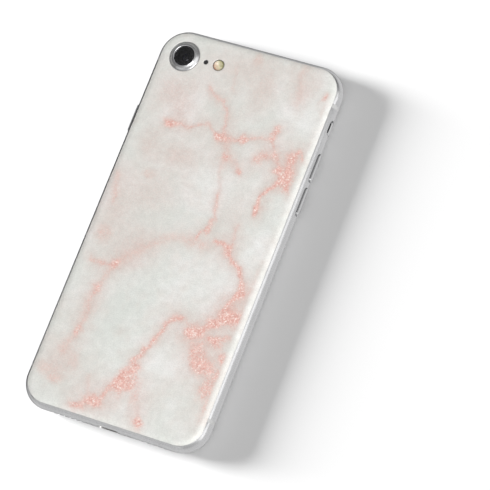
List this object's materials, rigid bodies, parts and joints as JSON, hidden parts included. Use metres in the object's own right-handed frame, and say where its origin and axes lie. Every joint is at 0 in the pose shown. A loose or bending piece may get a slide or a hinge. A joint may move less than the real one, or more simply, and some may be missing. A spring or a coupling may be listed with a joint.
{
  "type": "smartphone",
  "caption": "Slim aluminium-bodied phone with a marble vinyl skin on its back, side buttons, ring switch and slide-out SIM tray, lying on its screen.",
  "frame": {"origin": "centre of the cover glass's outer face, on which the phone lies; bottom centre of the whole object's box", "axes": "+Z out of the back through the thickness, +Y along the length towards the camera end, +X towards the side with the volume buttons"},
  "size_m": [0.0678, 0.1383, 0.008],
  "materials": {
    "silver_aluminium": "fine bead-blasted anodised silver",
    "inlay_plastic": "satin white plastic",
    "marble_vinyl": "printed vinyl, white marble with rose veins, satin clear film",
    "polished_ring": "polished silver",
    "camera_glass": "clear hard glass with a dark coating behind it",
    "flash_plastic": "clear lens over yellow light sources",
    "fine_mesh": "woven acoustic mesh",
    "front_glass": "glass, printed white behind round a black screen",
    "black_plastic": "moulded black plastic",
    "panel": "liquid crystal panel",
    "sensor_cap": "polished white sensor face",
    "steel_sheet": "plain steel sheet",
    "tungsten": "sintered heavy metal",
    "gold_contacts": "gold plated",
    "flex_film": "amber flexible circuit",
    "circuit_board": "solder mask on glass fibre",
    "battery_pouch": "black laminated pouch",
    "adhesive": "stretch release strip",
    "card_plastic": "white card plastic",
    "diaphragm": "moulded film"
  },
  "bodies": {
    "phone": {"rear_housing": "silver_aluminium", "antenna_line_top": "inlay_plastic", "antenna_line_bottom": "inlay_plastic", "vinyl_skin": "marble_vinyl", "camera_bezel": "polished_ring", "camera_window": "camera_glass", "flash_lens": "flash_plastic", "rear_mic_mesh": "fine_mesh", "cover_glass": "front_glass", "display_frame": "black_plastic", "display_panel": "panel", "display_backplate": "steel_sheet", "home_button": "sensor_cap", "home_button_ring": "polished_ring", "home_button_bracket": "steel_sheet", "earpiece_mesh": "fine_mesh", "earpiece_speaker": "black_plastic", "front_camera": "black_plastic", "light_sensor": "black_plastic", "speaker_mesh": "fine_mesh", "microphone_mesh": "fine_mesh", "bottom_screws": "steel_sheet", "charging_port": "steel_sheet", "port_contacts": "gold_contacts", "charging_flex": "flex_film", "bottom_microphone": "gold_contacts", "power_switch_bracket": "steel_sheet", "side_switch_bracket": "steel_sheet", "switch_domes": "steel_sheet", "sim_reader": "steel_sheet", "battery": "battery_pouch", "battery_adhesive": "adhesive", "battery_flex": "flex_film", "logic_board": "circuit_board", "board_shield_front": "steel_sheet", "board_shield_rear": "steel_sheet", "processor": "black_plastic", "board_connectors": "black_plastic", "display_connector_cover": "steel_sheet", "battery_connector_cover": "steel_sheet", "board_screws": "steel_sheet", "rear_camera_housing": "black_plastic", "camera_sensor_board": "circuit_board", "flash_module": "circuit_board", "rear_microphone": "gold_contacts", "loudspeaker_housing": "black_plastic", "haptic_housing": "steel_sheet", "haptic_springs": "steel_sheet", "wifi_antenna": "flex_film", "cellular_antenna": "flex_film", "display_cables": "flex_film"},
    "power_button": {"power_button": "silver_aluminium"},
    "volume_up_button": {"volume_up_button": "silver_aluminium"},
    "volume_down_button": {"volume_down_button": "silver_aluminium"},
    "ring_switch": {"ring_switch": "silver_aluminium"},
    "sim_tray": {"sim_tray": "silver_aluminium", "sim_card": "card_plastic"},
    "haptic_mass": {"haptic_mass": "tungsten"},
    "lens_barrel": {"lens_barrel": "black_plastic"},
    "loudspeaker_diaphragm": {"loudspeaker_diaphragm": "diaphragm"}
  },
  "joints": [
    {"name": "power_press", "type": "slide", "parent": "phone", "child": "power_button", "axis": [1, 0, 0], "range_m": [0, 0.0003], "stiffness_N_per_m": 1500, "springref_m": -0.0004},
    {"name": "volume_up_press", "type": "slide", "parent": "phone", "child": "volume_up_button", "axis": [-1, 0, 0], "range_m": [0, 0.0003], "stiffness_N_per_m": 1500, "springref_m": -0.0004},
    {"name": "volume_down_press", "type": "slide", "parent": "phone", "child": "volume_down_button", "axis": [-1, 0, 0], "range_m": [0, 0.0003], "stiffness_N_per_m": 1500, "springref_m": -0.0004},
    {"name": "ring_switch_slide", "type": "slide", "parent": "phone", "child": "ring_switch", "axis": [0, 0, 1], "range_m": [0, 0.001]},
    {"name": "sim_tray_slide", "type": "slide", "parent": "phone", "child": "sim_tray", "axis": [-1, 0, 0], "range_m": [0, 0.019]},
    {"name": "haptic_shake", "type": "slide", "parent": "phone", "child": "haptic_mass", "axis": [1, 0, 0], "range_m": [-0.0006, 0.0006], "stiffness_N_per_m": 4500, "deforming": ["haptic_springs"]},
    {"name": "lens_focus", "type": "slide", "parent": "phone", "child": "lens_barrel", "axis": [0, 0, 1], "range_m": [0, 0.0002], "stiffness_N_per_m": 60, "springref_m": -0.00005},
    {"name": "diaphragm_travel", "type": "slide", "parent": "phone", "child": "loudspeaker_diaphragm", "axis": [0, 0, 1], "range_m": [-0.0003, 0.0003], "stiffness_N_per_m": 300}
  ]
}
